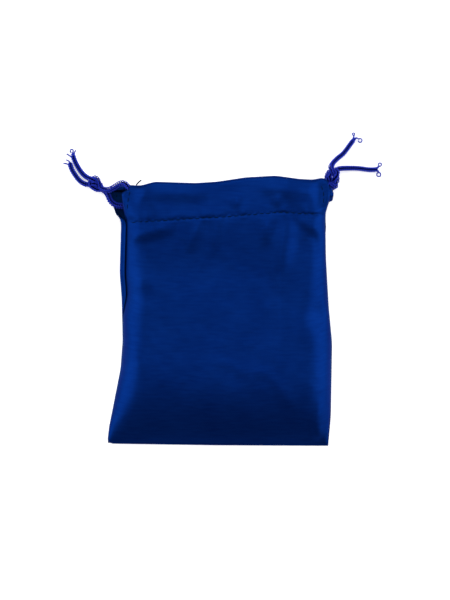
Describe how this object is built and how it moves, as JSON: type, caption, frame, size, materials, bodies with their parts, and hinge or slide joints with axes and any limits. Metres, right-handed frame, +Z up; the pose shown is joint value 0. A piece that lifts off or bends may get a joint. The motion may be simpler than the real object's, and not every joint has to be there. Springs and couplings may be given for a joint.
{
  "type": "drawstring gift pouch",
  "caption": "Small satin drawstring gift pouch lying flat, with a stitched casing at the mouth and a looped cord knotted at each side.",
  "frame": {"origin": "centre of the pouch's footprint without its cords, on the surface it lies on", "axes": "+Z up off the table, +Y from the bottom fold to the mouth, +X to the right seen from above with the mouth away"},
  "size_m": [0.1214, 0.1193, 0.0121],
  "materials": {
    "satin": "royal blue polyester satin, shiny side out",
    "satin_inside": "duller inner side of the same satin",
    "thread": "dark blue-black sewing thread",
    "cord": "violet-blue braided cord",
    "cord_yarn": "heat-sealed yarn ends of the cord"
  },
  "bodies": {
    "pouch": {"front_panel": "satin", "back_panel": "satin", "front_casing_facing": "satin_inside", "back_casing_facing": "satin_inside", "left_seam_allowance": "satin_inside", "right_seam_allowance": "satin_inside", "front_hem_stitching": "thread", "back_hem_stitching": "thread", "front_left_slit_stitching": "thread", "front_right_slit_stitching": "thread", "back_left_slit_stitching": "thread", "back_right_slit_stitching": "thread", "left_seam_stitching": "thread", "right_seam_stitching": "thread", "loose_thread_end": "thread"},
    "right_drawcord": {"right_cord_loop": "cord", "right_cord_knot": "cord", "right_cord_upper_tail": "cord", "right_cord_lower_tail": "cord", "right_upper_tail_fray": "cord_yarn", "right_lower_tail_fray": "cord_yarn"},
    "left_drawcord": {"left_cord_loop": "cord", "left_cord_knot": "cord", "left_cord_upper_tail": "cord", "left_cord_lower_tail": "cord", "left_upper_tail_fray": "cord_yarn", "left_lower_tail_fray": "cord_yarn"}
  },
  "joints": [
    {"name": "right_cord_pull", "type": "slide", "parent": "pouch", "child": "right_drawcord", "axis": [1, 0, 0], "range_m": [0, 0.022], "deforming": ["front_casing_facing"]},
    {"name": "left_cord_pull", "type": "slide", "parent": "pouch", "child": "left_drawcord", "axis": [-1, 0, 0], "range_m": [0, 0.022], "deforming": ["back_casing_facing"]}
  ]
}
